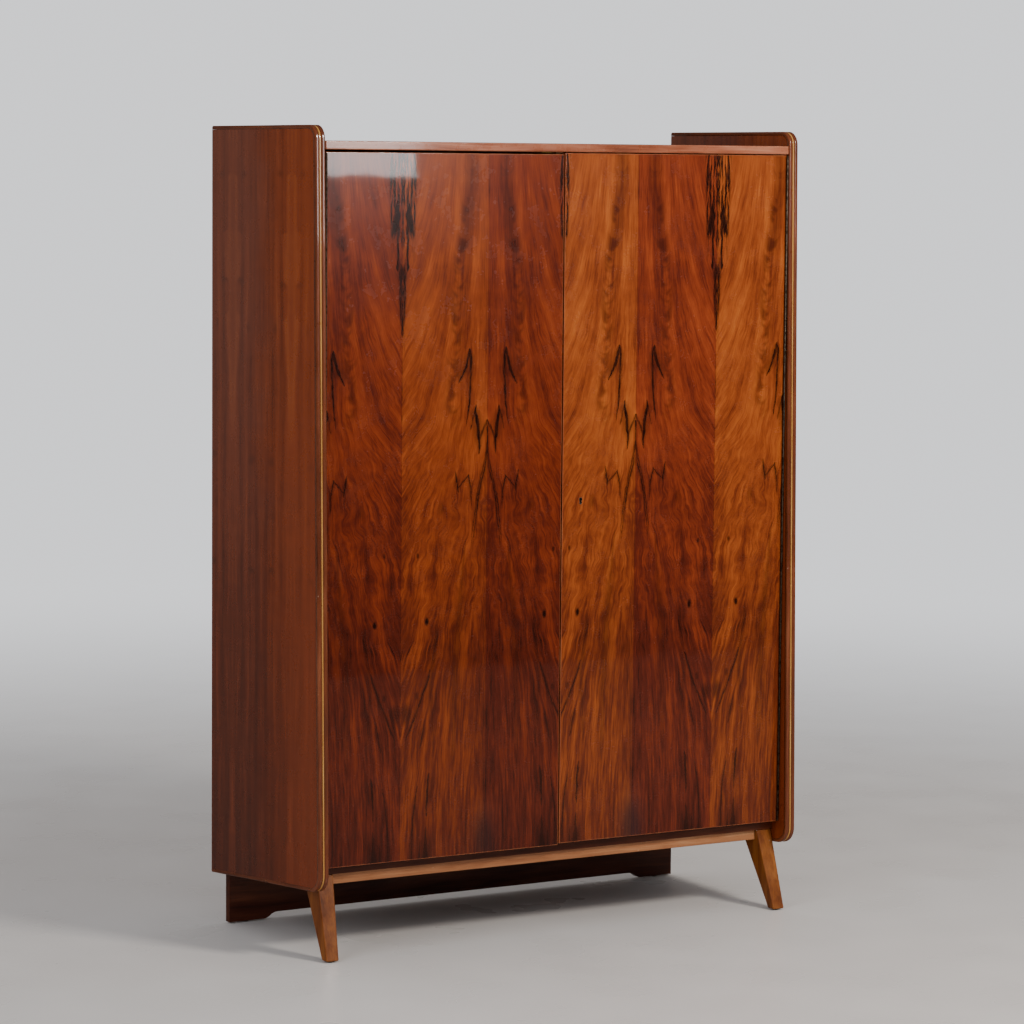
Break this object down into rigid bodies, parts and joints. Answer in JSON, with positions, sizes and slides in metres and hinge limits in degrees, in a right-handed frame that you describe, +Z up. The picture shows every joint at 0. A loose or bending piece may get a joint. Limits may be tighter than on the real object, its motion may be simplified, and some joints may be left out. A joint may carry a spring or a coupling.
{
  "type": "two-door wardrobe",
  "caption": "Mid-century walnut wardrobe: two flush lacquered doors between deep side panels, raked front legs, rear plinth board, shelves and hanging rail inside.",
  "frame": {"origin": "on the floor under the middle of the wardrobe's bounding box", "axes": "+X to the right seen from the front, -Y is the front with the doors, +Z up"},
  "size_m": [1.2, 0.5, 1.73],
  "materials": {
    "door_veneer": "figured walnut veneer under high gloss lacquer, bookmatched leaves",
    "side_veneer": "plum-brown walnut veneer, straight vertical grain, gloss lacquer",
    "lipping": "solid walnut lipping, rounded and lacquered",
    "string_inlay": "pale wood string let into the lipping",
    "leg_frame": "solid walnut, satin varnish",
    "stained_wood": "dark stained wood, satin",
    "interior_wood": "plain veneered board, matt",
    "plywood": "thin plywood, unfinished",
    "hinge_steel": "dark patinated steel",
    "lock_steel": "plain steel",
    "brass": "aged brass",
    "nickel": "dull nickel plate"
  },
  "bodies": {
    "case": {"back_panel": "plywood", "centre_partition": "interior_wood", "edge_lipping_left": "lipping", "edge_lipping_right": "lipping", "edge_string_left": "string_inlay", "edge_string_right": "string_inlay", "floor_board": "stained_wood", "front_glide_left": "nickel", "front_glide_right": "nickel", "front_leg_left": "leg_frame", "front_leg_right": "leg_frame", "front_rail": "leg_frame", "hanging_rail": "brass", "hat_shelf": "interior_wood", "hat_shelf_cleat_left": "interior_wood", "hat_shelf_cleat_right": "interior_wood", "hinge_fixed_leaf_left": "hinge_steel", "hinge_fixed_leaf_right": "hinge_steel", "hinge_pin_left": "hinge_steel", "hinge_pin_right": "hinge_steel", "leg_block_left": "stained_wood", "leg_block_right": "stained_wood", "lower_bolt_keeper": "brass", "plinth_block_left": "stained_wood", "plinth_block_right": "stained_wood", "rail_socket_left": "brass", "rail_socket_right": "brass", "rear_glide_left": "nickel", "rear_glide_right": "nickel", "rear_plinth_board": "stained_wood", "shelf_1": "interior_wood", "shelf_1_cleat_left": "interior_wood", "shelf_1_cleat_right": "interior_wood", "shelf_2": "interior_wood", "shelf_2_cleat_left": "interior_wood", "shelf_2_cleat_right": "interior_wood", "shelf_3": "interior_wood", "shelf_3_cleat_left": "interior_wood", "shelf_3_cleat_right": "interior_wood", "shelf_4": "interior_wood", "shelf_4_cleat_left": "interior_wood", "shelf_4_cleat_right": "interior_wood", "side_panel_left": "side_veneer", "side_panel_right": "side_veneer", "top_board": "side_veneer", "upper_bolt_keeper": "brass"},
    "left_door": {"door_left": "door_veneer", "hinge_moving_leaf_left": "hinge_steel", "lock_strike_plate": "brass", "upper_slide_bolt_guide": "brass", "lower_slide_bolt_guide": "brass"},
    "right_door": {"door_right": "door_veneer", "hinge_moving_leaf_right": "hinge_steel", "lock_case": "lock_steel", "keyhole_bush": "nickel"},
    "lock_bolt": {"lock_bolt": "brass"},
    "upper_slide_bolt": {"upper_slide_bolt": "brass"},
    "lower_slide_bolt": {"lower_slide_bolt": "brass"}
  },
  "joints": [
    {"name": "left_door_hinge", "type": "hinge", "parent": "case", "child": "left_door", "pos_m": [-0.5732, -0.2204, 0.9345], "axis": [0, 0, -1], "range_deg": [0, 98]},
    {"name": "right_door_hinge", "type": "hinge", "parent": "case", "child": "right_door", "pos_m": [0.5732, -0.2204, 0.9375], "axis": [0, 0, 1], "range_deg": [0, 98]},
    {"name": "lock_bolt_slide", "type": "slide", "parent": "right_door", "child": "lock_bolt", "axis": [-1, 0, 0], "range_m": [0, 0.01]},
    {"name": "upper_bolt_slide", "type": "slide", "parent": "left_door", "child": "upper_slide_bolt", "axis": [0, 0, 1], "range_m": [0, 0.012]},
    {"name": "lower_bolt_slide", "type": "slide", "parent": "left_door", "child": "lower_slide_bolt", "axis": [0, 0, -1], "range_m": [0, 0.012]}
  ]
}
